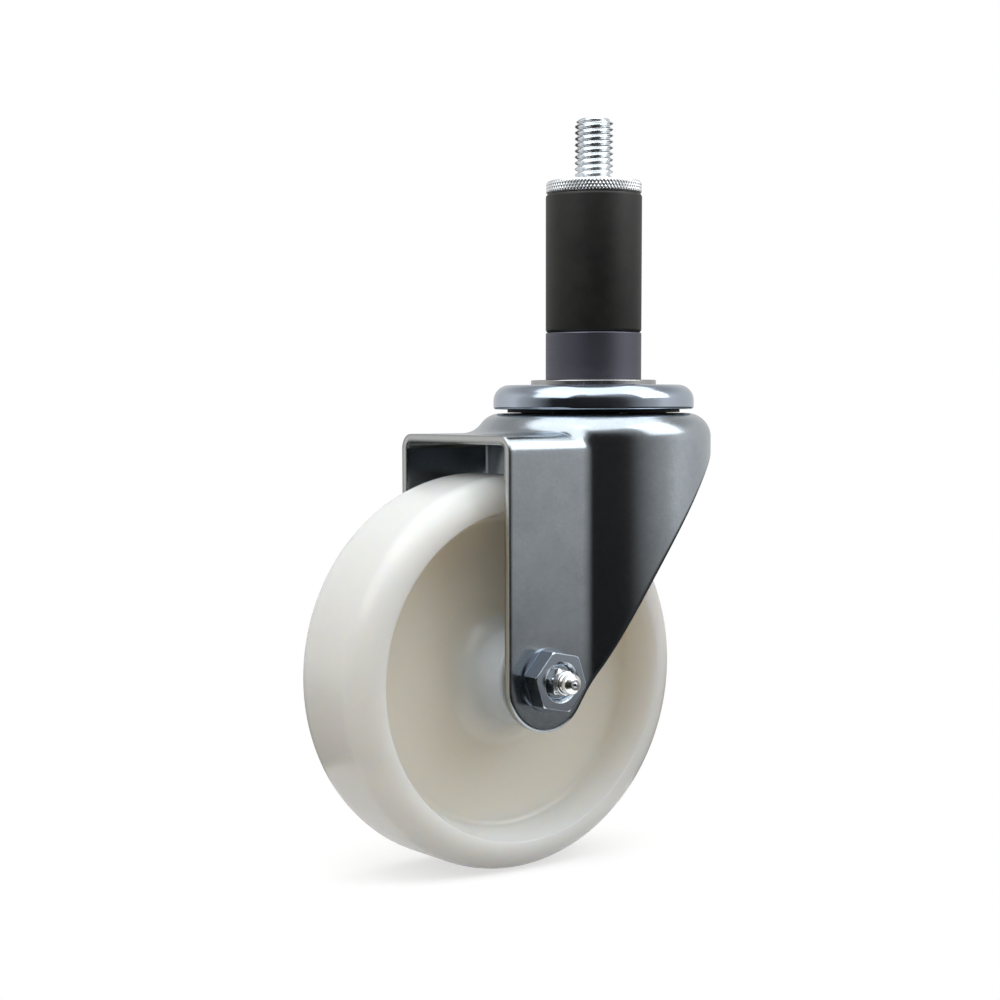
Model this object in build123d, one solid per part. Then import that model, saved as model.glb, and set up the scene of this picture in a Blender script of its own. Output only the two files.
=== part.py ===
from build123d import *
import os
from math import cos, floor, pi, radians, sin, sqrt

# A swivel caster with an expanding stem for round tube.
# All sizes are in millimetres. +Z is up along the swivel axis. The origin is on that axis, on the
# seat where the foot of the tube rests (the kingpin's flange). The wheel trails towards -X, its
# axle lies along Y, and the axle's nut is on the -Y side.

# Wheel: one nylon moulding with a dished web and a long hub
wheel_diameter = 127.0
wheel_width = 39.2
tread_corner = 9.7
rim_land = 0.4
dish_draft = 3.2
web_thickness = 13.0
hub_length = 50.8
hub_end_diameter = 31.0
hub_draft = 1.2
hub_root_round = 9.0
dish_root_round = 3.0

# Axle and wheel bearing
axle_diameter = 11.11
axle_clearance = 0.08
axle_sleeve_diameter = 15.9
roller_diameter = 3.2
roller_length = 38.0
roller_count = 12
roller_clearance = 0.05
cage_wall = 1.3
cage_end = 2.0
race_wall = 1.2
thrust_washer_thickness = 1.5
thrust_washer_diameter = 26.0
hub_side_clearance = 0.3
axle_washer_thickness = 0.8
axle_washer_diameter = 20.0
axle_nut_flats = 17.46
axle_nut_height = 6.35
axle_nut_turn = 48.5
axle_head_flats = 17.46
axle_head_height = 7.1
axle_end_sunk = 1.6
hex_chamfer = 0.9
nut_corner_chamfer = 0.5

# Grease way: a fitting in the axle's end, a drilling and cross holes
fitting_thread_diameter = 6.3
fitting_thread_length = 6.0
fitting_flats = 8.0
fitting_hex_height = 2.4
fitting_neck_diameter = 4.9
fitting_head_diameter = 6.5
fitting_tip_diameter = 3.6
fitting_length = 8.6
fitting_bore = 2.0
check_ball_diameter = 2.2
grease_hole_diameter = 2.6

# Fork: one pressed sheet with a round crown, a channel over the wheel and a wrapped skirt
sheet = 2.8
axle_drop = 93.6
leg_end_radius = 14.6
leg_end_drop = 2.1
axle_from_crease = 17.1
leg_back_angle = 55.0
crown_radius = 39.0
crown_corner = 8.0
plate_step = 6.5
channel_bend = 5.0
crease_round = 7.6
inner_crease_round = 3.6
skirt_lip = 9.2
skirt_waist = (0.336, 0.43)
skirt_shoulder = (0.597, 0.747)
kingpin_hole_clearance = 0.9

# Double ball race
upper_ball_diameter = 7.94
upper_ring_radius = 22.0
upper_race_depth = 0.6
lower_ball_diameter = 4.76
lower_ring_radius = 19.5
lower_race_depth = 0.5
ball_gap = 0.35
race_clearance = 0.04
cap_radius = 33.3
cap_thickness = 2.6
cap_corner = 5.2
cap_rim_drop = 5.4
cap_lip_round = 0.9
seal_radius = 28.7
seal_wall = 1.5
seal_clearance = 0.3
lower_cup_radius = 24.6
lower_cup_thickness = 2.4
lower_cup_rim = 3.0

# Hollow kingpin, riveted over under the lower cup
kingpin_flange_radius = 20.8
kingpin_flange = 1.6
kingpin_barrel_radius = 14.0
kingpin_lip = 2.0
kingpin_lip_radius = 17.6
stem_bore_clearance = 0.35

# Expanding stem
stem_diameter = 31.75
collar_height = 15.6
rubber_height = 45.3
rubber_bore_clearance = 0.9
nut_height = 4.0
nut_diameter = 31.5
nut_chamfer = 0.5
nut_thread_clearance = 0.05
bolt_diameter = 12.7
bolt_stand_out = 20.3
bolt_point = 1.3
bolt_head_flats = 19.05
bolt_head_height = 8.0
bolt_washer_thickness = 1.6
bolt_washer_diameter = 26.0
edge_break = 0.4
overlap = 5.0

# Places worked out from the sizes above
wheel_radius = wheel_diameter / 2
inside_width = hub_length + 2 * (thrust_washer_thickness + hub_side_clearance)
leg_outside = inside_width / 2 + sheet
trail = axle_from_crease + sqrt(crown_radius**2 - leg_outside**2)
fork_front = -(trail + leg_end_radius)

cap_top = -kingpin_flange
cap_under = cap_top - cap_thickness
upper_ring_z = cap_under + upper_race_depth - upper_ball_diameter / 2
crown_top = upper_ring_z - upper_ball_diameter / 2 + upper_race_depth
crown_under = crown_top - sheet
lower_ring_z = crown_under + lower_race_depth - lower_ball_diameter / 2
cup_top = lower_ring_z - lower_ball_diameter / 2 + lower_race_depth
cup_under = cup_top - lower_cup_thickness
kingpin_foot = cup_under - kingpin_lip
head_top = kingpin_foot - bolt_washer_thickness
plate_top = crown_top - plate_step
lip_z = crown_top - skirt_lip

stem_bore_radius = bolt_diameter / 2 + stem_bore_clearance
rubber_top = collar_height + rubber_height
nut_top = rubber_top + nut_height
bolt_top = nut_top + bolt_stand_out

axle_radius = axle_diameter / 2
sleeve_radius = axle_sleeve_diameter / 2
roller_ring_radius = sleeve_radius + roller_clearance + roller_diameter / 2
race_inner_radius = roller_ring_radius + roller_diameter / 2 + roller_clearance
race_outer_radius = race_inner_radius + race_wall
nut_seat = leg_outside + axle_washer_thickness
nut_face = nut_seat + axle_nut_height
axle_end = nut_face - axle_end_sunk


def turned(*corners):
    """A solid of revolution about Z. Each corner is (radius, height) or (radius, height, rounding)."""
    points = [(corner[0], corner[1]) for corner in corners]
    rounds = [corner[2] if len(corner) > 2 else 0 for corner in corners]
    outline = FilletPolyline(*points, radius=rounds, close=True)
    return revolve(Plane.XZ * make_face(outline), Axis.Z)


def ring(outer_radius, inner_radius, bottom, top, edge=0):
    """A turned tube or washer between two heights, with its outer edges rounded."""
    return turned((inner_radius, bottom), (outer_radius, bottom, edge),
                  (outer_radius, top, edge), (inner_radius, top))


def hexagon(flats, bottom, top, chamfer_bottom=0, chamfer_top=0):
    """A hexagon bar whose corners are turned down to the flats at either end."""
    corner_radius = flats / 2 / cos(radians(30))
    bar = extrude(Pos(0, 0, bottom) * RegularPolygon(corner_radius, 6), top - bottom)
    blank = turned((0, bottom), (corner_radius - chamfer_bottom, bottom),
                   (corner_radius + overlap, bottom + (chamfer_bottom + overlap) * 0.58),
                   (corner_radius + overlap, top - (chamfer_top + overlap) * 0.58),
                   (corner_radius - chamfer_top, top), (0, top))
    return bar & blank


def track(ring_radius, ring_z, ball_diameter):
    """The groove that a ring of balls runs in, as the solid to cut away."""
    return Pos(0, 0, ring_z) * Torus(ring_radius, ball_diameter / 2 + race_clearance)


def ball_ring(ring_radius, ring_z, ball_diameter):
    """As many loose balls as fill the ring, each a separate solid."""
    count = floor(2 * pi * ring_radius / (ball_diameter + ball_gap))
    places = PolarLocations(ring_radius, count)
    return [Pos(0, 0, ring_z) * place * Sphere(ball_diameter / 2) for place in places]


def on_axle(shape):
    """Carry a piece built about Z onto the axle, with its +Z end to the nut side."""
    return Pos(-trail, 0, -axle_drop) * Rot(90, 0, 0) * shape


# Expanding stem, from the top down
def expander_bolt():
    """The draw bolt: hexagon head under the kingpin, shank right through, pointed end."""
    shank_radius = bolt_diameter / 2
    shank = turned((0, head_top - edge_break), (shank_radius, head_top - edge_break),
                   (shank_radius, bolt_top - bolt_point), (shank_radius - bolt_point, bolt_top),
                   (0, bolt_top))
    head = hexagon(bolt_head_flats, head_top - bolt_head_height, head_top, chamfer_bottom=hex_chamfer)
    return head + shank


def bolt_washer():
    return ring(bolt_washer_diameter / 2, stem_bore_radius, head_top, kingpin_foot, edge_break)


def expander_nut():
    """The round nut that the bolt draws down onto the rubber. Its knurl is cut on the rim."""
    outer = nut_diameter / 2
    inner = bolt_diameter / 2 + nut_thread_clearance
    return turned((inner, rubber_top), (outer - nut_chamfer, rubber_top),
                  (outer, rubber_top + nut_chamfer), (outer, nut_top - nut_chamfer),
                  (outer - nut_chamfer, nut_top), (inner + nut_chamfer, nut_top),
                  (inner, nut_top - nut_chamfer))


def rubber_sleeve():
    inner = bolt_diameter / 2 + rubber_bore_clearance
    return ring(stem_diameter / 2, inner, collar_height, rubber_top, edge_break)


def collar():
    """The turned steel spacer between the rubber and the seat."""
    return ring(stem_diameter / 2, stem_bore_radius, 0, collar_height, edge_break)


# Swivel head
def kingpin():
    """A hollow rivet: thin flange on top, barrel through the races, foot rolled over below."""
    return turned((stem_bore_radius, kingpin_foot, edge_break), (kingpin_lip_radius, kingpin_foot, kingpin_lip * 0.6),
                  (kingpin_lip_radius, cup_under), (kingpin_barrel_radius, cup_under),
                  (kingpin_barrel_radius, cap_top), (kingpin_flange_radius, cap_top),
                  (kingpin_flange_radius, 0, edge_break), (stem_bore_radius, 0))


def race_cap():
    """The pressed upper race: a shallow cup turned down over the balls, its shoulder well rounded."""
    rim_foot = cap_under - cap_rim_drop
    inner = cap_radius - cap_thickness
    blank = turned((kingpin_barrel_radius, cap_under), (inner, cap_under, cap_corner - cap_thickness),
                   (inner, rim_foot, cap_lip_round), (cap_radius, rim_foot, cap_lip_round),
                   (cap_radius, cap_top, cap_corner), (kingpin_barrel_radius, cap_top))
    return blank - track(upper_ring_radius, upper_ring_z, upper_ball_diameter)


def dust_seal():
    """The soft band that closes the gap between the cap and the crown outside the balls."""
    foot = crown_top + seal_clearance
    return turned((seal_radius - seal_wall, foot), (seal_radius, foot),
                  (cap_radius - cap_corner, cap_under), (seal_radius - seal_wall, cap_under))


def lower_cup():
    """The pressed lower race, a dish with its rim turned up round the balls."""
    inner = lower_cup_radius - lower_cup_thickness
    rim_top = cup_top + lower_cup_rim
    blank = turned((kingpin_barrel_radius, cup_under), (lower_cup_radius, cup_under, lower_cup_thickness),
                   (lower_cup_radius, rim_top, edge_break), (inner, rim_top, edge_break),
                   (inner, cup_top), (kingpin_barrel_radius, cup_top))
    return blank - track(lower_ring_radius, lower_ring_z, lower_ball_diameter)


# Fork
def fork_form(inset, front, crease):
    """The form that the sheet is pressed over, taken in by inset: a round crown run into a channel."""
    foot = -(axle_drop + leg_end_drop + leg_end_radius + overlap)
    radius = crown_radius - inset
    top = crown_top - inset
    crown = Pos(0, 0, foot) * Cylinder(radius, top - foot, align=(Align.CENTER, Align.CENTER, Align.MIN))
    crown = fillet(crown.edges().sort_by(Axis.Z)[-1], crown_corner - inset)
    half = leg_outside - inset
    plate = plate_top - inset
    channel = Pos(front, 0, foot) * Box(-front, 2 * half, plate - foot, align=(Align.MIN, Align.CENTER, Align.MIN))
    bends = channel.edges().filter_by(Axis.X).sort_by(Axis.Z)[-2:]
    channel = fillet(bends, channel_bend - inset)
    form = crown + channel
    creases = new_edges(crown, channel, combined=form)
    return fillet(creases, crease)


def fork_side():
    """The fork's outline seen from the side, as a block that the pressed form is trimmed to."""
    back = radians(leg_back_angle)
    end_x = -trail
    end_z = -(axle_drop + leg_end_drop)
    leave = (end_x + leg_end_radius * sin(back), end_z - leg_end_radius * cos(back))
    bottom = (end_x + leg_end_radius * sin(back / 2 - pi / 4), end_z - leg_end_radius * cos(back / 2 - pi / 4))
    span_x = crown_radius - (end_x + leg_end_radius)
    span_z = lip_z + axle_drop
    waist = (end_x + leg_end_radius + skirt_waist[0] * span_x, skirt_waist[1] * span_z - axle_drop)
    shoulder = (end_x + leg_end_radius + skirt_shoulder[0] * span_x, skirt_shoulder[1] * span_z - axle_drop)
    lip = (crown_radius, lip_z)
    outline = [
        ThreePointArc((fork_front, end_z), bottom, leave),
        Spline(leave, waist, shoulder, lip, tangents=[(cos(back), sin(back)), (1, 0.25)]),
        Polyline(lip, (crown_radius + overlap, lip_z), (crown_radius + overlap, overlap),
                 (fork_front, overlap), (fork_front, end_z)),
    ]
    side = Plane.XZ * make_face(Curve() + outline)
    return extrude(side, leg_outside + crown_radius, both=True)


def fork():
    """The pressed fork: crown with both race grooves, legs, flared skirt and the axle holes."""
    outside = fork_form(0, fork_front, crease_round)
    inside = fork_form(sheet, fork_front - overlap, inner_crease_round)
    body = (outside - inside) & fork_side()
    hole_radius = kingpin_barrel_radius + kingpin_hole_clearance
    body -= Pos(0, 0, crown_top) * Cylinder(hole_radius, 4 * sheet)
    body -= track(upper_ring_radius, upper_ring_z, upper_ball_diameter)
    body -= track(lower_ring_radius, lower_ring_z, lower_ball_diameter)
    body -= on_axle(Cylinder(axle_radius + axle_clearance, 2 * leg_outside + overlap))
    return body


# Axle, from the nut side to the head side, built about Z and laid along Y
def axle_bolt():
    """The axle: a hexagon-headed bolt, drilled from its threaded end to a cross hole at mid length."""
    head_seat = -nut_seat
    shank = turned((0, head_seat - edge_break), (axle_radius, head_seat - edge_break),
                   (axle_radius, axle_end, edge_break), (0, axle_end))
    head = hexagon(axle_head_flats, head_seat - axle_head_height, head_seat, chamfer_bottom=hex_chamfer)
    drilling = Cylinder(fitting_thread_diameter / 2, fitting_thread_length + overlap,
                        align=(Align.CENTER, Align.CENTER, Align.MAX))
    way = Cylinder(grease_hole_diameter / 2, axle_end, align=(Align.CENTER, Align.CENTER, Align.MIN))
    cross = Rot(0, 90, 0) * Cylinder(grease_hole_diameter / 2, axle_diameter + overlap)
    return on_axle(head + shank - Pos(0, 0, axle_end) * drilling - way - cross)


def axle_nut():
    blank = hexagon(axle_nut_flats, nut_seat, nut_face, chamfer_top=nut_corner_chamfer)
    bore = Pos(0, 0, nut_seat) * Cylinder(axle_radius + nut_thread_clearance, 3 * axle_nut_height)
    mouth_radius = axle_radius + nut_thread_clearance
    mouth = turned((0, nut_face - hex_chamfer), (mouth_radius, nut_face - hex_chamfer),
                   (mouth_radius + hex_chamfer, nut_face), (0, nut_face))
    return on_axle(Rot(0, 0, axle_nut_turn) * (blank - bore - mouth))


def axle_washer(side):
    near = side * leg_outside
    far = side * nut_seat
    return on_axle(ring(axle_washer_diameter / 2, axle_radius + axle_clearance, min(near, far), max(near, far)))


def grease_fitting():
    """The nipple: threaded shank, small hexagon, waist and a bulb whose tip holds the check ball."""
    shank_radius = fitting_thread_diameter / 2
    neck = fitting_neck_diameter / 2
    bulb = fitting_head_diameter / 2
    tip = fitting_tip_diameter / 2
    hex_top = axle_end + fitting_hex_height
    top = axle_end + fitting_length
    rise = top - hex_top
    nipple = turned((0, axle_end - fitting_thread_length), (shank_radius, axle_end - fitting_thread_length),
                    (shank_radius, axle_end), (neck, axle_end), (neck, hex_top + 0.22 * rise),
                    (bulb, hex_top + 0.42 * rise), (bulb, hex_top + 0.56 * rise),
                    (tip, top - 0.1 * rise), (tip * 0.8, top), (0, top))
    body = hexagon(fitting_flats, axle_end, hex_top, chamfer_top=edge_break)
    way = Pos(0, 0, axle_end) * Cylinder(fitting_bore / 2, 4 * fitting_length)
    seat = Pos(0, 0, top - check_ball_diameter / 4) * Sphere(check_ball_diameter / 2 + race_clearance)
    return on_axle(nipple + body - way - seat)


def check_ball():
    top = axle_end + fitting_length
    return on_axle(Pos(0, 0, top - check_ball_diameter / 4) * Sphere(check_ball_diameter / 2))


def axle_sleeve():
    """The spacer tube clamped between the legs, which the rollers run on."""
    tube = ring(sleeve_radius, axle_radius + axle_clearance, -inside_width / 2, inside_width / 2)
    return on_axle(tube - Rot(0, 90, 0) * Cylinder(grease_hole_diameter / 2, 3 * sleeve_radius))


def thrust_washer(side):
    """A washer between the hub's end and the leg, held against the leg."""
    near = side * (inside_width / 2 - thrust_washer_thickness)
    far = side * inside_width / 2
    return on_axle(ring(thrust_washer_diameter / 2, sleeve_radius + axle_clearance, min(near, far), max(near, far)))


# Wheel
def wheel():
    """The nylon wheel: rounded tread, dished sides with drafted walls, hub blended into the web."""
    tread = wheel_radius
    half = wheel_width / 2
    web = web_thickness / 2
    dish = wheel_radius - tread_corner - rim_land
    hub = hub_end_diameter / 2
    end = hub_length / 2
    bore = race_outer_radius

    def side_corners(sign):
        return [(tread, sign * half, tread_corner), (dish, sign * half, rim_land),
                (dish - dish_draft, sign * web, dish_root_round),
                (hub + hub_draft, sign * web, hub_root_round),
                (hub, sign * end, hub_draft), (bore, sign * end)]

    corners = side_corners(1) + side_corners(-1)[::-1]
    return on_axle(turned(*corners))


def bearing_race():
    return on_axle(ring(race_outer_radius, race_inner_radius, -hub_length / 2, hub_length / 2))


def bearing_rollers():
    """The straight rollers, each a separate solid, in a ring round the sleeve."""
    places = PolarLocations(roller_ring_radius, roller_count)
    return [on_axle(place * Cylinder(roller_diameter / 2, roller_length)) for place in places]


def roller_cage():
    """The tube with a pocket for each roller that keeps them apart."""
    half = roller_length / 2 + cage_end
    tube = ring(roller_ring_radius + cage_wall / 2, roller_ring_radius - cage_wall / 2, -half, half)
    pocket_radius = roller_diameter / 2 + roller_clearance
    pocket = Cylinder(pocket_radius, roller_length + 2 * roller_clearance)
    return on_axle(tube - [place * pocket for place in PolarLocations(roller_ring_radius, roller_count)])


pieces = {
    "expander_bolt": expander_bolt(),
    "bolt_washer": bolt_washer(),
    "expander_nut": expander_nut(),
    "rubber_sleeve": rubber_sleeve(),
    "collar": collar(),
    "kingpin": kingpin(),
    "race_cap": race_cap(),
    "dust_seal": dust_seal(),
    "upper_balls": ball_ring(upper_ring_radius, upper_ring_z, upper_ball_diameter),
    "fork": fork(),
    "lower_balls": ball_ring(lower_ring_radius, lower_ring_z, lower_ball_diameter),
    "lower_cup": lower_cup(),
    "axle_bolt": axle_bolt(),
    "axle_nut": axle_nut(),
    "axle_washer_near": axle_washer(1),
    "axle_washer_far": axle_washer(-1),
    "grease_fitting": grease_fitting(),
    "check_ball": check_ball(),
    "axle_sleeve": axle_sleeve(),
    "thrust_washer_near": thrust_washer(1),
    "thrust_washer_far": thrust_washer(-1),
    "wheel": wheel(),
    "bearing_race": bearing_race(),
    "bearing_rollers": bearing_rollers(),
    "roller_cage": roller_cage(),
}

os.makedirs("parts", exist_ok=True)
for name, piece in pieces.items():
    solids = piece if isinstance(piece, list) else piece.solids()
    shape = solids[0] if len(solids) == 1 else Compound(children=solids)
    export_step(shape, "parts/" + name + ".step")
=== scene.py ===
import math

import bpy
import numpy as np
from mathutils import Matrix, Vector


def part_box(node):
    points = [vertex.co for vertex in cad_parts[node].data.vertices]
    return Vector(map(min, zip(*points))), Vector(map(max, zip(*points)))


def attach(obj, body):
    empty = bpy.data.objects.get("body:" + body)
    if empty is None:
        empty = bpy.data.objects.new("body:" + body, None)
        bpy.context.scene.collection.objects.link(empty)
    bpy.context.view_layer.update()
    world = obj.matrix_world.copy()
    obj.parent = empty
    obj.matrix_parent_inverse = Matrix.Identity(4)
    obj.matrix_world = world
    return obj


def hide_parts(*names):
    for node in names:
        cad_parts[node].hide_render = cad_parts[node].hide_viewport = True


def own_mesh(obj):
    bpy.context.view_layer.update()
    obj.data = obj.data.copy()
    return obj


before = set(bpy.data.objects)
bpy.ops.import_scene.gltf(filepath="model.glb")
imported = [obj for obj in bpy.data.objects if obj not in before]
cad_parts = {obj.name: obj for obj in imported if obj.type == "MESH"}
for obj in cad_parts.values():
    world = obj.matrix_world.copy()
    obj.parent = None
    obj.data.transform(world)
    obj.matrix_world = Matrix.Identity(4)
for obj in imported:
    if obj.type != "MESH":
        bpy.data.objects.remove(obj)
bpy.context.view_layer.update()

# Fork: the pressed carrier, one zinc-plated steel sheet drawn over a round crown and bent down
# into two legs. The plate is satin with a fine grain, worn round at its edges, and warmer along the
# sheared front of the legs. Its inner faces are painted darker, as painted shade.
MM = 0.001
FORK_ZINC = "c6cdd2"
FORK_ZINC_CLOUD = "9aa2a9"
FORK_EDGE = "babcba"
FORK_INSIDE_SHADE = "767d82"
INSIDE_SHADE_FROM = -4 * MM
INSIDE_SHADE_FULL = -16 * MM
SHEET_EDGE_WORN = 1.8 * MM
SHEET_GRAIN = 0.45 * MM
PLATE_CLOUD = 14 * MM
FINE_RELIEF = 0.02 * MM
EDGE_REACH = 0.05 * MM
FORK_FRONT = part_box("fork")[0][0] + EDGE_REACH


def linear(code):
    """An sRGB hex colour as linear red, green, blue and alpha."""
    srgb = np.array([int(code[i:i + 2], 16) for i in (0, 2, 4)]) / 255
    value = np.where(srgb <= 0.04045, srgb / 12.92, ((srgb + 0.055) / 1.055) ** 2.4)
    return (*value, 1.0)


def add(material, kind, settings=(), **links):
    """Adds a node to a material. Settings go by attribute, socket name or socket number, and links
    by socket name, or by i and the socket's number."""
    tree = material.node_tree
    node = tree.nodes.new(kind)
    for name, value in dict(settings).items():
        if isinstance(name, str) and hasattr(node, name):
            setattr(node, name, value)
        else:
            node.inputs[name].default_value = value
    for name, source in links.items():
        key = int(name[1:]) if name[1:].isdigit() else name.replace("_", " ")
        tree.links.new(source, node.inputs[key])
    return node


def finish_named(name, colour, metallic, roughness):
    """A material with one Principled shader, its plain values set on the shader's own sockets."""
    material = bpy.data.materials.new(name)
    material.use_nodes = True
    shader = material.node_tree.nodes["Principled BSDF"]
    shader.inputs["Base Color"].default_value = linear(colour)
    shader.inputs["Metallic"].default_value = metallic
    shader.inputs["Roughness"].default_value = roughness
    return material, shader


def feed(material, source, shader, socket):
    """Links a node's output to a socket of the shader."""
    material.node_tree.links.new(source, shader.inputs[socket])


def dress(material, *nodes):
    """Gives CAD nodes a material."""
    for node in nodes:
        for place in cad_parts[node].material_slots:
            place.material = material


def satin_zinc_sheet():
    """Bright zinc over cold-rolled sheet: satin, with grain and a faint cloud from the bath. Its edges
    are worn round and catch the light, and its inner faces are painted darker as painted shade. The
    sheet's real grain is too fine to show, so it is drawn coarser."""
    material, shader = finish_named("satin_zinc_sheet", FORK_ZINC, 1.0, 0.24)
    coordinates = add(material, "ShaderNodeTexCoord")
    place = coordinates.outputs["Object"]
    cloud = add(material, "ShaderNodeTexNoise",
                {"Scale": 1 / PLATE_CLOUD, "Detail": 7.0, "Roughness": 0.8}, Vector=place)
    grain = add(material, "ShaderNodeTexNoise", {"Scale": 1 / SHEET_GRAIN, "Detail": 3.0}, Vector=place)
    body = add(material, "ShaderNodeMix",
               {"data_type": "RGBA", 6: linear(FORK_ZINC), 7: linear(FORK_ZINC_CLOUD)},
               i0=cloud.outputs["Fac"])
    flat = add(material, "ShaderNodeVectorMath", {"operation": "MULTIPLY", 1: (1, 1, 0)}, i0=place)
    outward = add(material, "ShaderNodeVectorMath", {"operation": "DOT_PRODUCT"},
                  i0=coordinates.outputs["Normal"], i1=flat.outputs[0])
    # Painted shade: faces that turn in towards the axis get a darker colour.
    inner_shade = add(material, "ShaderNodeMapRange", {"From Min": INSIDE_SHADE_FROM, "From Max": INSIDE_SHADE_FULL},
                Value=outward.outputs["Value"])
    skin = add(material, "ShaderNodeMix", {"data_type": "RGBA", 7: linear(FORK_INSIDE_SHADE)},
               i0=inner_shade.outputs[0], i6=body.outputs[2])
    split = add(material, "ShaderNodeSeparateXYZ", Vector=place)
    edge = add(material, "ShaderNodeMath", {"operation": "LESS_THAN", 1: FORK_FRONT}, i0=split.outputs["X"])
    colour = add(material, "ShaderNodeMix", {"data_type": "RGBA", 7: linear(FORK_EDGE)},
                 i0=edge.outputs[0], i6=skin.outputs[2])
    feed(material, colour.outputs[2], shader, "Base Color")
    rough = add(material, "ShaderNodeMapRange",
                {"From Min": 0.3, "From Max": 0.7, "To Min": 0.15, "To Max": 0.26},
                Value=grain.outputs["Fac"])
    feed(material, rough.outputs[0], shader, "Roughness")
    worn = add(material, "ShaderNodeBevel", {"samples": 8, "Radius": SHEET_EDGE_WORN})
    bump = add(material, "ShaderNodeBump", {"Strength": 0.3, "Distance": FINE_RELIEF},
               Height=grain.outputs["Fac"], Normal=worn.outputs[0])
    feed(material, bump.outputs[0], shader, "Normal")
    return material


fork_zinc = satin_zinc_sheet()
dress(fork_zinc, "fork", "lower_cup")

# Swivel head: the upper race cap, pressed and polished before it is plated, the hollow kingpin's
# thin flange on top of it, the black band that keeps dust off the balls, and the balls.
CAP_ZINC = "b6c0cd"
FLANGE_ZINC = "b4b2b1"
SEAL_BLACK = "121315"
BALL_STEEL = "b9bcc0"
DRAW_LINE = 1.6 * MM
FLANGE_CLOUD = 3 * MM
SEAL_SPECK = 0.6 * MM
GREASE_FILM = 2 * MM


def bright_zinc_pressing():
    """Bright zinc over a polished pressing: nearly a mirror, with faint lines from the drawing die."""
    material, shader = finish_named("bright_zinc_pressing", CAP_ZINC, 1.0, 0.16)
    place = add(material, "ShaderNodeTexCoord").outputs["Object"]
    cloud = add(material, "ShaderNodeTexNoise", {"Scale": 1 / PLATE_CLOUD, "Detail": 5.0}, Vector=place)
    rough = add(material, "ShaderNodeMapRange",
                {"From Min": 0.3, "From Max": 0.7, "To Min": 0.12, "To Max": 0.24},
                Value=cloud.outputs["Fac"])
    feed(material, rough.outputs[0], shader, "Roughness")
    around = add(material, "ShaderNodeMapping", {"Scale": (0.15, 0.15, 1.0)}, Vector=place)
    lines = add(material, "ShaderNodeTexNoise", {"Scale": 1 / DRAW_LINE, "Detail": 3.0},
                Vector=around.outputs[0])
    bump = add(material, "ShaderNodeBump", {"Strength": 0.06, "Distance": FINE_RELIEF},
               Height=lines.outputs["Fac"])
    feed(material, bump.outputs[0], shader, "Normal")
    return material


def burnished_flange():
    """The rivet's flange: zinc rubbed by the heading tool, a little darker and warmer than the cap."""
    material, shader = finish_named("burnished_zinc_flange", FLANGE_ZINC, 1.0, 0.22)
    place = add(material, "ShaderNodeTexCoord").outputs["Object"]
    cloud = add(material, "ShaderNodeTexNoise", {"Scale": 1 / FLANGE_CLOUD, "Detail": 4.0}, Vector=place)
    rough = add(material, "ShaderNodeMapRange", {"To Min": 0.15, "To Max": 0.35}, Value=cloud.outputs["Fac"])
    feed(material, rough.outputs[0], shader, "Roughness")
    return material


def moulded_black_seal():
    """Black nylon, moulded matt, that shows as a dark band."""
    material, shader = finish_named("moulded_black_nylon", SEAL_BLACK, 0.0, 0.6)
    place = add(material, "ShaderNodeTexCoord").outputs["Object"]
    speck = add(material, "ShaderNodeTexNoise", {"Scale": 1 / SEAL_SPECK}, Vector=place)
    bump = add(material, "ShaderNodeBump", {"Strength": 0.1, "Distance": FINE_RELIEF},
               Height=speck.outputs["Fac"])
    feed(material, bump.outputs[0], shader, "Normal")
    return material


def ground_ball_steel():
    """Hardened and ground steel under a film of grease, so its shine comes and goes."""
    material, shader = finish_named("ground_bearing_steel", BALL_STEEL, 1.0, 0.1)
    place = add(material, "ShaderNodeTexCoord").outputs["Object"]
    film = add(material, "ShaderNodeTexNoise", {"Scale": 1 / GREASE_FILM}, Vector=place)
    rough = add(material, "ShaderNodeMapRange", {"To Min": 0.06, "To Max": 0.22}, Value=film.outputs["Fac"])
    feed(material, rough.outputs[0], shader, "Roughness")
    return material


cap_zinc = bright_zinc_pressing()
dress(cap_zinc, "race_cap")
dress(burnished_flange(), "kingpin")
seal_black = moulded_black_seal()
dress(seal_black, "dust_seal")
ball_steel = ground_ball_steel()
dress(ball_steel, "upper_balls", "lower_balls")

# Collar: a ring parted off from steel tube and turned, oiled dark, between the seat and the rubber.
# The tool leaves fine rings round it.
TURNED_DARK = "6c6c76"
TOOL_PITCH = 0.45 * MM


def dark_turned_steel():
    """Turned steel with a dark oiled skin: fine rings round it that spread the light along its height.
    The tool's real marks are too fine to show, so they are drawn coarser."""
    material, shader = finish_named("dark_turned_steel", TURNED_DARK, 1.0, 0.46)
    place = add(material, "ShaderNodeTexCoord").outputs["Object"]
    around = add(material, "ShaderNodeMapping", {"Scale": (0.02, 0.02, 1.0)}, Vector=place)
    rings = add(material, "ShaderNodeTexNoise", {"Scale": 1 / TOOL_PITCH, "Detail": 2.0},
                Vector=around.outputs[0])
    rough = add(material, "ShaderNodeMapRange", {"To Min": 0.4, "To Max": 0.55}, Value=rings.outputs["Fac"])
    feed(material, rough.outputs[0], shader, "Roughness")
    bump = add(material, "ShaderNodeBump", {"Strength": 0.25, "Distance": FINE_RELIEF},
               Height=rings.outputs["Fac"])
    feed(material, bump.outputs[0], shader, "Normal")
    return material


turned_steel = dark_turned_steel()
dress(turned_steel, "collar", "axle_sleeve")

# Rubber sleeve: a length of moulded black rubber tube that the nut squeezes, so that it swells and
# grips the inside of the leg. Its ends are cut square with a small moulded edge.
RUBBER_BLACK = "0f0f0e"
RUBBER_BLOOM = "24221e"
RUBBER_EDGE = 1.1 * MM
RUBBER_BORE = 7.25 * MM
RUBBER_SKIN = 0.35 * MM
RUBBER_CLOUD = 9 * MM
RUBBER_PIT = 0.03 * MM
RUBBER_COLUMNS = 160
STRAIGHT_ON = 1.57


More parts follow.
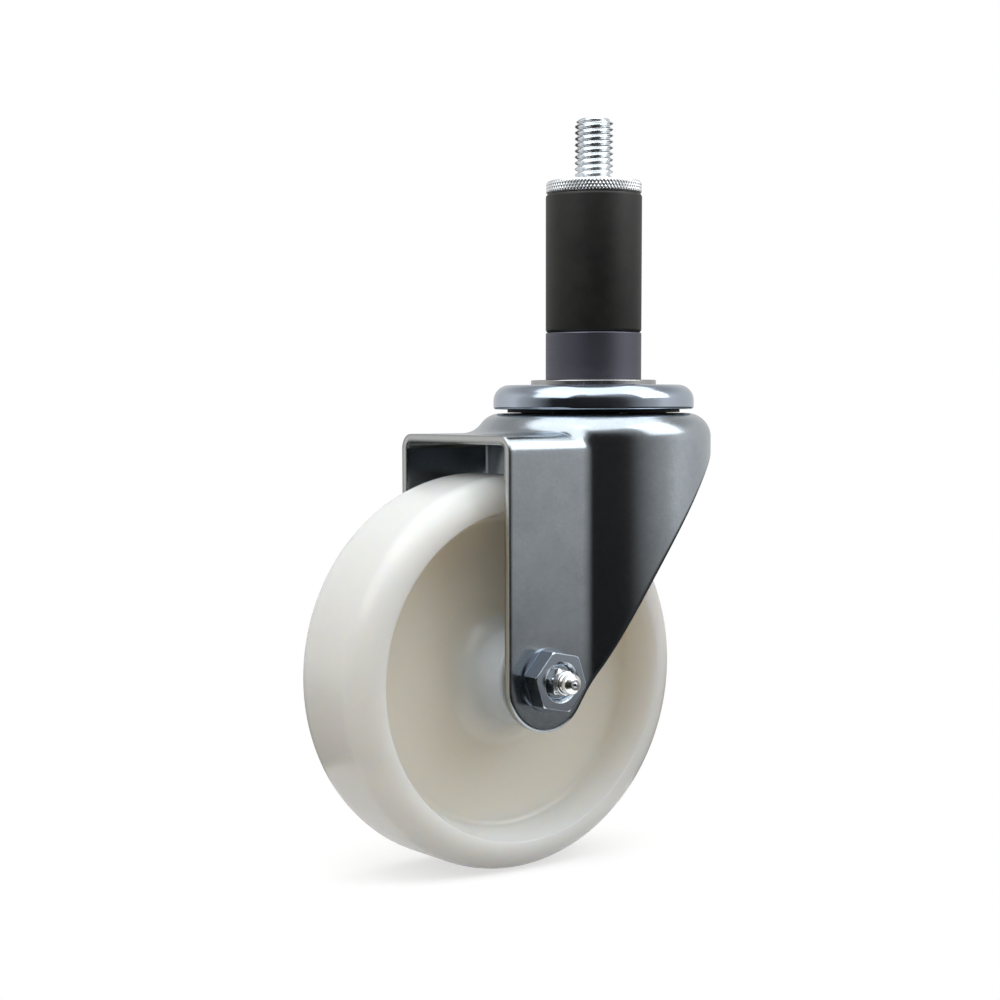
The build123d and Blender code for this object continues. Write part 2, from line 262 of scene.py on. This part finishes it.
def rounded(corners, steps=6):
    """A profile through corners of (radius, height, rounding), each corner a circular arc."""
    points = []
    count = len(corners)
    for i in range(count):
        before, here, after = (np.array(corners[j % count][:2], float) for j in (i - 1, i, i + 1))
        size = corners[i][2] if len(corners[i]) > 2 else 0
        to_before = (before - here) / np.linalg.norm(before - here)
        to_after = (after - here) / np.linalg.norm(after - here)
        half = math.acos(np.clip(to_before @ to_after, -1, 1)) / 2
        if not size or half > STRAIGHT_ON:
            points.append(here)
            continue
        middle = to_before + to_after
        centre = here + middle / np.linalg.norm(middle) * size / math.sin(half)
        start = here + to_before * size / math.tan(half) - centre
        end = here + to_after * size / math.tan(half) - centre
        turn = math.atan2(start[0] * end[1] - start[1] * end[0], start @ end)
        for angle in np.linspace(0, turn, steps):
            c, s = math.cos(angle), math.sin(angle)
            points.append(centre + (start[0] * c - start[1] * s, start[0] * s + start[1] * c))
    return np.array(points)


def turned(name, profile, columns, shape=None, axis="z", centre=(0, 0, 0), closed=True):
    """A profile of (radius, height) turned about an axis. Place = (r cos a, r sin a, h), where shape
    may change r by angle and height. A closed profile makes a tube, an open one runs pole to pole."""
    angle = np.linspace(0, 2 * np.pi, columns, endpoint=False)
    radius = np.repeat(profile[:, :1], columns, 1)
    height = np.repeat(profile[:, 1:2], columns, 1)
    if shape:
        radius = shape(radius, height, angle[None, :])
    x, y = radius * np.cos(angle), radius * np.sin(angle)
    stack = np.stack((x, y, height) if axis == "z" else (x, -height, y), -1)
    points = stack.reshape(-1, 3) + centre
    rows = len(profile)
    row = np.arange(rows if closed else rows - 1)[:, None]
    column = np.arange(columns)[None, :]
    after_row, after_column = (row + 1) % rows, (column + 1) % columns
    corners = (row * columns + column, row * columns + after_column,
               after_row * columns + after_column, after_row * columns + column)
    faces = np.stack(corners, -1).reshape(-1, 4).tolist()
    if not closed:
        faces += [list(range(columns))[::-1], list(range((rows - 1) * columns, rows * columns))]
    mesh = bpy.data.meshes.new(name)
    mesh.from_pydata(points.tolist(), [], faces)
    mesh.polygons.foreach_set("use_smooth", [True] * len(mesh.polygons))
    mesh.update()
    piece = bpy.data.objects.new(name, mesh)
    bpy.context.scene.collection.objects.link(piece)
    return piece


def place_piece(piece, material, body, slot, *nodes):
    """Gives a new piece its material and body, and hides the CAD nodes that it stands for. The slot
    argument is not used.
    """
    piece.data.materials.append(material)
    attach(piece, body)
    if nodes:
        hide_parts(*nodes)


def sharpen(piece, degrees):
    """Keeps edges crisp where the faces beside them turn by more than the angle."""
    piece.data.set_sharp_from_angle(angle=math.radians(degrees))


def black_rubber():
    """Moulded rubber: near black, satin, with a brownish bloom and a skin of fine pits. The real
    pits are too fine to show, so they are drawn coarser."""
    material, shader = finish_named("moulded_black_rubber", RUBBER_BLACK, 0.0, 0.5)
    place = add(material, "ShaderNodeTexCoord").outputs["Object"]
    bloom = add(material, "ShaderNodeTexNoise",
                {"Scale": 1 / RUBBER_CLOUD, "Detail": 6.0, "Roughness": 0.6}, Vector=place)
    amount = add(material, "ShaderNodeMapRange", {"From Min": 0.35, "From Max": 0.75},
                 Value=bloom.outputs["Fac"])
    colour = add(material, "ShaderNodeMix",
                 {"data_type": "RGBA", 6: linear(RUBBER_BLACK), 7: linear(RUBBER_BLOOM)},
                 i0=amount.outputs[0])
    feed(material, colour.outputs[2], shader, "Base Color")
    skin = add(material, "ShaderNodeTexNoise", {"Scale": 1 / RUBBER_SKIN, "Detail": 2.0}, Vector=place)
    bump = add(material, "ShaderNodeBump", {"Strength": 0.3, "Distance": RUBBER_PIT},
               Height=skin.outputs["Fac"])
    feed(material, bump.outputs[0], shader, "Normal")
    return material


low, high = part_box("rubber_sleeve")
RUBBER_OUT = (high[0] - low[0]) / 2
rubber_profile = rounded([(RUBBER_BORE, low[2]), (RUBBER_OUT, low[2], RUBBER_EDGE),
                          (RUBBER_OUT, high[2], RUBBER_EDGE), (RUBBER_BORE, high[2])])
rubber = turned("rubber_sleeve_moulding", rubber_profile, RUBBER_COLUMNS)
sharpen(rubber, degrees=60)
place_piece(rubber, black_rubber(), "stem", "black_rubber", "rubber_sleeve")
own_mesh(rubber)

# Draw bolt: a half inch bolt, thirteen threads to the inch, up through the kingpin, collar and
# rubber. Its rolled thread stands out of the nut, with a turned point, and it is bright zinc plated.
STUD_ZINC = "f2f6f9"
THREAD_PITCH = 25.4 / 13 * MM
THREAD_DEPTH = 0.613 * THREAD_PITCH
THREAD_STEP = 0.1 * MM
BOLT_RADIUS = 6.35 * MM
BOLT_POINT = 1.5 * MM
HEAD_FLATS = 19.05 * MM
HEAD_HEIGHT = 8.0 * MM
HEAD_CHAMFER = 0.9 * MM
HEAD_FACE_EDGE = 0.6 * MM
CHAMFER_SLOPE = 0.6
POINT_SLOPE = 1.2
THREAD_RUNOUT = 2 * MM
BOLT_POLE = 0.2 * MM
BOLT_COLUMNS = 120
STREAK = 0.8 * MM


def helix_depth(height, angle, pitch):
    """How deep the thread is, from 0 at the crest to 1 at the root: a rolled thread's round wave,
    half of one minus a cosine, that climbs one pitch in a turn."""
    return 0.5 - 0.5 * np.cos(2 * np.pi * height / pitch - angle)


def hexed(radius, angle, flats, turn=0.0):
    """The radius cut back to a hexagon's flats."""
    within = np.mod(angle - turn + np.pi / 6, np.pi / 3) - np.pi / 6
    return np.minimum(radius, flats / 2 / np.cos(within))


def bright_zinc_thread():
    """Bright zinc over a rolled thread: shiny, with faint streaks from the rolling dies."""
    material, shader = finish_named("bright_zinc_thread", STUD_ZINC, 1.0, 0.18)
    place = add(material, "ShaderNodeTexCoord").outputs["Object"]
    streak = add(material, "ShaderNodeTexNoise", {"Scale": 1 / STREAK, "Detail": 4.0}, Vector=place)
    rough = add(material, "ShaderNodeMapRange", {"To Min": 0.17, "To Max": 0.28}, Value=streak.outputs["Fac"])
    feed(material, rough.outputs[0], shader, "Roughness")
    bump = add(material, "ShaderNodeBump", {"Strength": 0.02, "Distance": FINE_RELIEF},
               Height=streak.outputs["Fac"])
    feed(material, bump.outputs[0], shader, "Normal")
    return material


bolt_low, bolt_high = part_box("expander_bolt")
thread_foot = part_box("expander_nut")[0][2] - THREAD_RUNOUT
head_top = bolt_low[2] + HEAD_HEIGHT
head_corner = HEAD_FLATS / 2 / math.cos(math.pi / 6)
thread_heights = np.arange(thread_foot, bolt_high[2], THREAD_STEP)
bolt_profile = np.array(
    [(BOLT_POLE, bolt_low[2]), (HEAD_FLATS / 2 - HEAD_FACE_EDGE, bolt_low[2]),
     (head_corner - HEAD_CHAMFER, bolt_low[2]), (head_corner, bolt_low[2] + HEAD_CHAMFER * CHAMFER_SLOPE),
     (head_corner, head_top), (BOLT_RADIUS, head_top)]
    + [(BOLT_RADIUS, height) for height in thread_heights]
    + [(BOLT_RADIUS - BOLT_POINT, bolt_high[2]), (BOLT_POLE, bolt_high[2])])


def bolt_shape(radius, height, angle):
    """Hexagon on the head, helix on the thread, and a cone that turns the point down."""
    depth = helix_depth(height, angle, THREAD_PITCH) * np.clip((height - thread_foot) / THREAD_RUNOUT, 0, 1)
    threaded = np.where(height >= thread_foot, radius - THREAD_DEPTH * depth, radius)
    point = BOLT_RADIUS - BOLT_POINT + (bolt_high[2] - height) * POINT_SLOPE
    shaped = np.where(height > head_top, np.minimum(threaded, point), hexed(radius, angle, HEAD_FLATS))
    return np.where(radius <= BOLT_POLE, radius, shaped)


bolt = turned("draw_bolt_threaded", bolt_profile, BOLT_COLUMNS, bolt_shape, closed=False)
sharpen(bolt, degrees=40)
thread_zinc = bright_zinc_thread()
place_piece(bolt, thread_zinc, "draw_bolt", "bright_zinc", "expander_bolt")
dress(thread_zinc, "bolt_washer")

# Round nut: turned steel, its rim rolled with a diamond knurl so that it bites in the rubber's end
# and can't turn with the bolt, then zinc plated.
KNURL_ZINC = "f6f8fa"
KNURL_PITCH = 1.15 * MM
KNURL_DEPTH = 0.2 * MM
KNURL_LAND = 0.25
KNURL_LEAN = math.pi / 6
KNURL_STEPS = 8
KNURL_ROWS = 32
ON_RIM = 0.01 * MM
NUT_CLOUD = 1.5 * MM
NUT_CHAMFER = 0.5 * MM
NUT_BORE = 6.4 * MM
nut_low, nut_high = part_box("expander_nut")
NUT_OUT = (nut_high[0] - nut_low[0]) / 2
KNURLS = round(2 * math.pi * NUT_OUT / KNURL_PITCH)


def knurled(radius, height, angle):
    """Two crossed sets of grooves at thirty degrees each side of the axis; the deeper one counts."""
    around = KNURLS * angle / (2 * np.pi)
    lean = (height - nut_low[2]) * math.tan(KNURL_LEAN) / KNURL_PITCH
    grooves = [1 - np.abs(2 * np.mod(around + sign * lean, 1) - 1) for sign in (1, -1)]
    depth = np.clip(np.maximum(*grooves) * (1 + KNURL_LAND) - KNURL_LAND, 0, 1)
    on_rim = (radius > NUT_OUT - ON_RIM) & (height > nut_low[2]) & (height < nut_high[2])
    return np.where(on_rim, radius - KNURL_DEPTH * depth, radius)


def knurled_zinc():
    """Zinc over a knurl: pale, bright on the points and grey in the grooves."""
    material, shader = finish_named("zinc_over_knurl", KNURL_ZINC, 1.0, 0.3)
    place = add(material, "ShaderNodeTexCoord").outputs["Object"]
    cloud = add(material, "ShaderNodeTexNoise", {"Scale": 1 / NUT_CLOUD, "Detail": 3.0}, Vector=place)
    rough = add(material, "ShaderNodeMapRange", {"To Min": 0.22, "To Max": 0.42}, Value=cloud.outputs["Fac"])
    feed(material, rough.outputs[0], shader, "Roughness")
    return material


rim_heights = np.linspace(nut_low[2] + NUT_CHAMFER, nut_high[2] - NUT_CHAMFER, KNURL_ROWS)
nut_profile = np.array(
    [(NUT_BORE, nut_low[2]), (NUT_OUT - NUT_CHAMFER, nut_low[2])]
    + [(NUT_OUT, height) for height in rim_heights]
    + [(NUT_OUT - NUT_CHAMFER, nut_high[2]), (NUT_BORE + NUT_CHAMFER, nut_high[2]),
       (NUT_BORE, nut_high[2] - NUT_CHAMFER)])
nut = turned("knurled_round_nut", nut_profile, KNURLS * KNURL_STEPS, knurled)
sharpen(nut, degrees=30)
place_piece(nut, knurled_zinc(), "draw_nut", "knurled_zinc", "expander_nut")

# Wheel: natural nylon, moulded in one piece, so the skin is smooth and a little shiny and light
# sinks in and comes back warm. The dished sides are painted warmer than the tread, as painted shade.
NYLON = "e7e7e5"
NYLON_DISH_WARM_SHADE = "eae6dd"
low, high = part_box("wheel")
AXLE = np.array([(low[0] + high[0]) / 2, 0, (low[2] + high[2]) / 2])
TREAD = (high[2] - low[2]) / 2
TREAD_HALF = 19.6 * MM
TREAD_CORNER = 9.7 * MM
RIM_LAND = 0.4 * MM
WEB_HALF = 6.5 * MM
DISH_MOUTH = TREAD - TREAD_CORNER - RIM_LAND
DISH_DRAFT = 3.2 * MM
DISH_FLOOR = DISH_MOUTH - DISH_DRAFT
DISH_FADE = 6 * MM
DISH_ROUND = 3.0 * MM
HUB = 15.5 * MM
HUB_DRAFT = 1.2 * MM
HUB_FOOT_ROUND = 9.0 * MM
HUB_EDGE_ROUND = 1.2 * MM
HUB_HALF = (high[1] - low[1]) / 2
HUB_BORE = 12.55 * MM
NYLON_DEPTH = 26 * MM
NYLON_BLUSH = (1.0, 0.78, 0.55)
NYLON_CLOUD = 4 * MM
WHEEL_COLUMNS = 256
ROUND_STEPS = 14


def nylon_side(sign):
    """The corners of one side of the wheel, from the tread to the bore."""
    return [(TREAD, sign * TREAD_HALF, TREAD_CORNER), (DISH_MOUTH, sign * TREAD_HALF, RIM_LAND),
            (DISH_FLOOR, sign * WEB_HALF, DISH_ROUND), (HUB + HUB_DRAFT, sign * WEB_HALF, HUB_FOOT_ROUND),
            (HUB, sign * HUB_HALF, HUB_EDGE_ROUND), (HUB_BORE, sign * HUB_HALF)]


def natural_nylon():
    """Natural nylon: white, slightly see-through, glossy from the mould, painted warmer in the dish as
    painted shade.
    """
    material, shader = finish_named("natural_moulded_nylon", NYLON, 0.0, 0.3)
    shader.inputs["Subsurface Weight"].default_value = 0.9
    shader.inputs["Subsurface Radius"].default_value = NYLON_BLUSH
    shader.inputs["Subsurface Scale"].default_value = NYLON_DEPTH
    place = add(material, "ShaderNodeTexCoord").outputs["Object"]
    centred = add(material, "ShaderNodeMapping", {"Location": tuple(-AXLE), "Scale": (1, 0, 1)}, Vector=place)
    reach = add(material, "ShaderNodeVectorMath", {"operation": "LENGTH"}, i0=centred.outputs[0])
    # Painted shade: the dish and hub, inside the tread's rim, get a warmer colour.
    painted_dish_shade = add(material, "ShaderNodeMapRange", {"From Min": DISH_MOUTH, "From Max": DISH_FLOOR - DISH_FADE},
               Value=reach.outputs["Value"])
    colour = add(material, "ShaderNodeMix", {"data_type": "RGBA", 6: linear(NYLON), 7: linear(NYLON_DISH_WARM_SHADE)},
                 i0=painted_dish_shade.outputs[0])
    feed(material, colour.outputs[2], shader, "Base Color")
    skin = add(material, "ShaderNodeTexNoise", {"Scale": 1 / NYLON_CLOUD, "Detail": 5.0}, Vector=place)
    rough = add(material, "ShaderNodeMapRange", {"To Min": 0.16, "To Max": 0.3}, Value=skin.outputs["Fac"])
    feed(material, rough.outputs[0], shader, "Roughness")
    return material


wheel_profile = rounded(nylon_side(1) + nylon_side(-1)[::-1], ROUND_STEPS)
wheel = turned("nylon_wheel", wheel_profile, WHEEL_COLUMNS, axis="y", centre=AXLE)
sharpen(wheel, degrees=50)
place_piece(wheel, natural_nylon(), "wheel", "nylon", "wheel")
dress(ball_steel, "bearing_race", "bearing_rollers")
dress(seal_black, "roller_cage", "thrust_washer_near", "thrust_washer_far")

# Axle: a 7/16 inch bolt through the hub with its nut on the near leg. Nut and bolt are blue-white
# zinc plated, and the hexagons keep sharp, slightly mirror-like facets.
AXLE_ZINC = "ccd6e2"
HEX_EDGE_ROUND = 0.22 * MM
HEX_CLOUD = 2.5 * MM
HEX_RELIEF = 0.05 * MM


def blue_zinc():
    """Blue-white zinc over cold-headed steel: clear reflections with a cool tint, edges just worn."""
    material, shader = finish_named("blue_white_zinc", AXLE_ZINC, 1.0, 0.2)
    place = add(material, "ShaderNodeTexCoord").outputs["Object"]
    cloud = add(material, "ShaderNodeTexNoise", {"Scale": 1 / HEX_CLOUD, "Detail": 4.0}, Vector=place)
    rough = add(material, "ShaderNodeMapRange", {"To Min": 0.08, "To Max": 0.2}, Value=cloud.outputs["Fac"])
    feed(material, rough.outputs[0], shader, "Roughness")
    worn = add(material, "ShaderNodeBevel", {"samples": 8, "Radius": HEX_EDGE_ROUND})
    bump = add(material, "ShaderNodeBump", {"Strength": 0.08, "Distance": HEX_RELIEF},
               Height=cloud.outputs["Fac"], Normal=worn.outputs[0])
    feed(material, bump.outputs[0], shader, "Normal")
    return material


dress(blue_zinc(), "axle_bolt", "axle_nut")
dress(cap_zinc, "axle_washer_near", "axle_washer_far")
dress(ball_steel, "check_ball")

# Grease fitting: a turned steel nipple, bright zinc plated, screwed in the axle's end. Above its
# small hexagon it has two turned collars and a bulb, and the check ball shows in its mouth.
NIPPLE_ZINC = "f6f6f4"
NIPPLE_FLATS = 8.0 * MM
NIPPLE_HEX = 2.3 * MM
NIPPLE_MOUTH = 1.0 * MM
NIPPLE_MOUTH_DEPTH = 0.7 * MM
NIPPLE_SHANK = 3.1 * MM
NIPPLE_CORNER = 4.62 * MM
NIPPLE_CHAMFER_FOOT = 0.3 * MM
NIPPLE_TOP = 4.1 * MM
NIPPLE_POLE = 0.1 * MM
NIPPLE_LIP = 1.7 * MM
NIPPLE_LIP_ROUND = 0.4 * MM
NIPPLE_TURN = 0.3
NIPPLE_COLUMNS = 96
NIPPLE_CLOUD = 1.2 * MM
NIPPLE_FORM = ((2.9, 0.0, 0), (2.9, 0.06, 0), (3.8, 0.09, 0.25), (3.7, 0.32, 0.3), (2.9, 0.36, 0.1),
               (2.9, 0.45, 0.1), (3.4, 0.52, 0.3), (3.1, 0.8, 0.8))


def nipple_zinc():
    """Bright zinc over a turned nipple: nearly a mirror, a little cloudy."""
    material, shader = finish_named("bright_zinc_nipple", NIPPLE_ZINC, 1.0, 0.2)
    place = add(material, "ShaderNodeTexCoord").outputs["Object"]
    cloud = add(material, "ShaderNodeTexNoise", {"Scale": 1 / NIPPLE_CLOUD, "Detail": 3.0}, Vector=place)
    rough = add(material, "ShaderNodeMapRange", {"To Min": 0.14, "To Max": 0.3}, Value=cloud.outputs["Fac"])
    feed(material, rough.outputs[0], shader, "Roughness")
    return material


low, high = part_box("grease_fitting")
axle_end = -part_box("axle_bolt")[0][1]
tip = -low[1]
foot = -high[1]
hex_top = axle_end + NIPPLE_HEX
rise = tip - hex_top
mouth_foot = tip - NIPPLE_MOUTH_DEPTH
nipple_corners = ([(NIPPLE_POLE, hex_top)]
                  + [(radius * MM, hex_top + share * rise, size * MM) for radius, share, size in NIPPLE_FORM]
                  + [(NIPPLE_LIP, tip, NIPPLE_LIP_ROUND), (NIPPLE_MOUTH, tip), (NIPPLE_MOUTH, mouth_foot),
                     (NIPPLE_POLE, mouth_foot)])
nipple_profile = np.vstack((
    [(NIPPLE_POLE, foot), (NIPPLE_SHANK, foot), (NIPPLE_SHANK, axle_end), (NIPPLE_CORNER, axle_end),
     (NIPPLE_CORNER, hex_top - NIPPLE_CHAMFER_FOOT), (NIPPLE_TOP, hex_top)],
    rounded(nipple_corners, 5)[1:-1],
    [(NIPPLE_POLE, mouth_foot)]))


def nipple_shape(radius, height, angle):
    """Round, but for the hexagon at its foot."""
    on_hex = (height >= axle_end) & (height <= hex_top) & (radius >= NIPPLE_TOP)
    return np.where(on_hex, hexed(radius, angle, NIPPLE_FLATS, NIPPLE_TURN), radius)


nipple = turned("grease_nipple", nipple_profile, NIPPLE_COLUMNS, nipple_shape, axis="y",
                centre=(AXLE[0], 0, AXLE[2]), closed=False)
sharpen(nipple, degrees=35)
place_piece(nipple, nipple_zinc(), "fork", "bright_zinc", "grease_fitting")

# Floor, light and camera: a pale table and soft light. The metal sees a studio with pale walls whose
# end behind the photographer is unlit, which gives its dark bands. The camera sees plain white, and
# matt surfaces are filled evenly, a little warm, from all round.
FLOOR_WHITE = "a8a8a8"
FLOOR_GLOW = 0.64
FLOOR_RADIUS = 0.1
FLOOR_GAP = 0.1 * MM
FLOOR_CORNERS = 96
CAMERA_PLACE = (-0.40941, -0.51001, -0.0056)
CAMERA_YAW = math.radians(-35.35)
CAMERA_PITCH = math.radians(-5.79)
CAMERA_ROLL = math.radians(-0.18)
CAMERA_FOCAL_PIXELS = 1948.0
CAMERA_AXIS_PIXEL = (477.4, 594.9)
CAMERA_NEAREST = 0.01
FRAME_PIXELS = 1000
DARK_END = math.radians(-136)
DARK_TO_WHITE = ((42, 0.02), (55, 0.22), (70, 0.43), (83, 0.56), (95, 0.85), (130, 0.68))
CEILING_FROM = 0.4
CEILING_FULL = 0.65
CEILING_LEVEL = 0.42
LOW_FROM = -0.19
LOW_FULL = -0.06
LOW_LEVEL = 0.08
FILL_LIGHT = 0.38
FILL_WARM = (1.0, 0.94, 0.85, 1)
SOFTBOX_COOL = (0.93, 0.97, 1.0)
SOFTBOX_TARGET = (0, 0, -0.05)
SOFTBOXES = (("overhead_softbox", (0.0, -0.1, 0.95), 1.5, 11.5),
             ("front_softbox", (0.56, -0.68, 0.62), 0.8, 4.2),
             ("left_softbox", (-0.85, 0.0, 0.75), 0.9, 4.8))


def shown(material):
    """One for the rays that show the background: the camera's, and those from metal and glass."""
    path = add(material, "ShaderNodeLightPath")
    metal = add(material, "ShaderNodeMath", {"operation": "MAXIMUM"},
                i0=path.outputs["Is Camera Ray"], i1=path.outputs["Is Glossy Ray"])
    return add(material, "ShaderNodeMath", {"operation": "MAXIMUM"},
               i0=metal.outputs[0], i1=path.outputs["Is Transmission Ray"]).outputs[0]


def table():
    """The floor: a grey disc under the wheel that glows to the camera and to metal and glass, so that
    it shows near white with the object's shadow, and sends little light up at the object."""
    angle = np.linspace(0, 2 * np.pi, FLOOR_CORNERS, endpoint=False)
    height = AXLE[2] - TREAD - FLOOR_GAP
    rim = np.stack((AXLE[0] + FLOOR_RADIUS * np.cos(angle), FLOOR_RADIUS * np.sin(angle),
                    np.full(angle.shape, height)), -1)
    mesh = bpy.data.meshes.new("floor")
    mesh.from_pydata(rim.tolist(), [], [list(range(len(rim)))])
    floor = bpy.data.objects.new("floor", mesh)
    bpy.context.scene.collection.objects.link(floor)
    material, shader = finish_named("white_table", FLOOR_WHITE, 0.0, 0.9)
    shader.inputs["Emission Color"].default_value = (1, 1, 1, 1)
    glow = add(material, "ShaderNodeMath", {"operation": "MULTIPLY", 1: FLOOR_GLOW}, i0=shown(material))
    feed(material, glow.outputs[0], shader, "Emission Strength")
    mesh.materials.append(material)


def studio():
    """What each kind of ray meets past the table. Metal meets pale walls, a greyer ceiling, a dark end
    and a dim band towards the floor; the camera meets plain white, and matt surfaces a warm fill."""
    world = bpy.data.worlds.new("studio")
    bpy.context.scene.world = world
    world.use_nodes = True
    direction = add(world, "ShaderNodeTexCoord").outputs["Generated"]
    split = add(world, "ShaderNodeSeparateXYZ", Vector=direction)
    raised = add(world, "ShaderNodeMath", {"operation": "MAXIMUM", 1: 0.0}, i0=split.outputs["Z"])
    level = add(world, "ShaderNodeCombineXYZ",
                X=split.outputs["X"], Y=split.outputs["Y"], Z=raised.outputs[0])
    unit = add(world, "ShaderNodeVectorMath", {"operation": "NORMALIZE"}, i0=level.outputs[0])
    dark_way = (math.cos(DARK_END), math.sin(DARK_END), 0.0)
    facing = add(world, "ShaderNodeVectorMath", {"operation": "DOT_PRODUCT", 1: dark_way}, i0=unit.outputs[0])
    share = add(world, "ShaderNodeMapRange", {"From Min": 1.0, "From Max": -1.0},
                Value=facing.outputs["Value"])
    ramp = add(world, "ShaderNodeValToRGB", Fac=share.outputs[0])
    while len(ramp.color_ramp.elements) < len(DARK_TO_WHITE):
        ramp.color_ramp.elements.new(1.0)
    for element, (degrees, value) in zip(ramp.color_ramp.elements, DARK_TO_WHITE):
        element.position = (1 - math.cos(math.radians(degrees))) / 2
        element.color = (value, value, value, 1)
    ceiling = add(world, "ShaderNodeMapRange", {"From Min": CEILING_FROM, "From Max": CEILING_FULL},
                  Value=split.outputs["Z"])
    grey = (CEILING_LEVEL, CEILING_LEVEL, CEILING_LEVEL, 1)
    walls = add(world, "ShaderNodeMix", {"data_type": "RGBA", 7: grey},
                i0=ceiling.outputs[0], i6=ramp.outputs["Color"])
    low = add(world, "ShaderNodeMapRange", {"From Min": LOW_FROM, "From Max": LOW_FULL, "To Min": LOW_LEVEL},
              Value=split.outputs["Z"])
    shaded = add(world, "ShaderNodeMix", {"data_type": "RGBA", "blend_type": "MULTIPLY", 0: 1.0},
                 i6=walls.outputs[2], i7=low.outputs[0])
    camera_ray = add(world, "ShaderNodeLightPath").outputs["Is Camera Ray"]
    on_show = shown(world)
    room = add(world, "ShaderNodeMix", {"data_type": "RGBA", 6: FILL_WARM}, i0=on_show, i7=shaded.outputs[2])
    seen = add(world, "ShaderNodeMix", {"data_type": "RGBA", 7: (1, 1, 1, 1)},
               i0=camera_ray, i6=room.outputs[2])
    strength = add(world, "ShaderNodeMix", {"data_type": "FLOAT", 2: FILL_LIGHT, 3: 1.0}, i0=on_show)
    background = world.node_tree.nodes["Background"]
    feed(world, seen.outputs[2], background, "Color")
    feed(world, strength.outputs[0], background, "Strength")


def soft_lamp(name, place, size, watts):
    """A square softbox at a place, turned to face the object."""
    light = bpy.data.lights.new(name, "AREA")
    light.size = size
    light.energy = watts
    light.color = SOFTBOX_COOL
    lamp = bpy.data.objects.new(name, light)
    bpy.context.scene.collection.objects.link(lamp)
    away = Matrix.Translation(place).translation - Matrix.Translation(SOFTBOX_TARGET).translation
    lamp.matrix_world = Matrix.Translation(place) @ away.to_track_quat("Z", "Y").to_matrix().to_4x4()


table()
studio()
for softbox in SOFTBOXES:
    soft_lamp(*softbox)

scene = bpy.context.scene
scene.view_settings.view_transform = "Standard"
camera = bpy.data.objects.new("camera", bpy.data.cameras.new("camera"))
scene.collection.objects.link(camera)
camera.data.lens = camera.data.sensor_width * CAMERA_FOCAL_PIXELS / FRAME_PIXELS
camera.data.shift_x = (FRAME_PIXELS / 2 - CAMERA_AXIS_PIXEL[0]) / FRAME_PIXELS
camera.data.shift_y = (CAMERA_AXIS_PIXEL[1] - FRAME_PIXELS / 2) / FRAME_PIXELS
camera.data.clip_start = CAMERA_NEAREST
camera.matrix_world = (Matrix.Translation(CAMERA_PLACE)
                       @ Matrix.Rotation(CAMERA_YAW, 4, "Z")
                       @ Matrix.Rotation(math.pi / 2 + CAMERA_PITCH, 4, "X")
                       @ Matrix.Rotation(CAMERA_ROLL, 4, "Z"))
scene.camera = camera
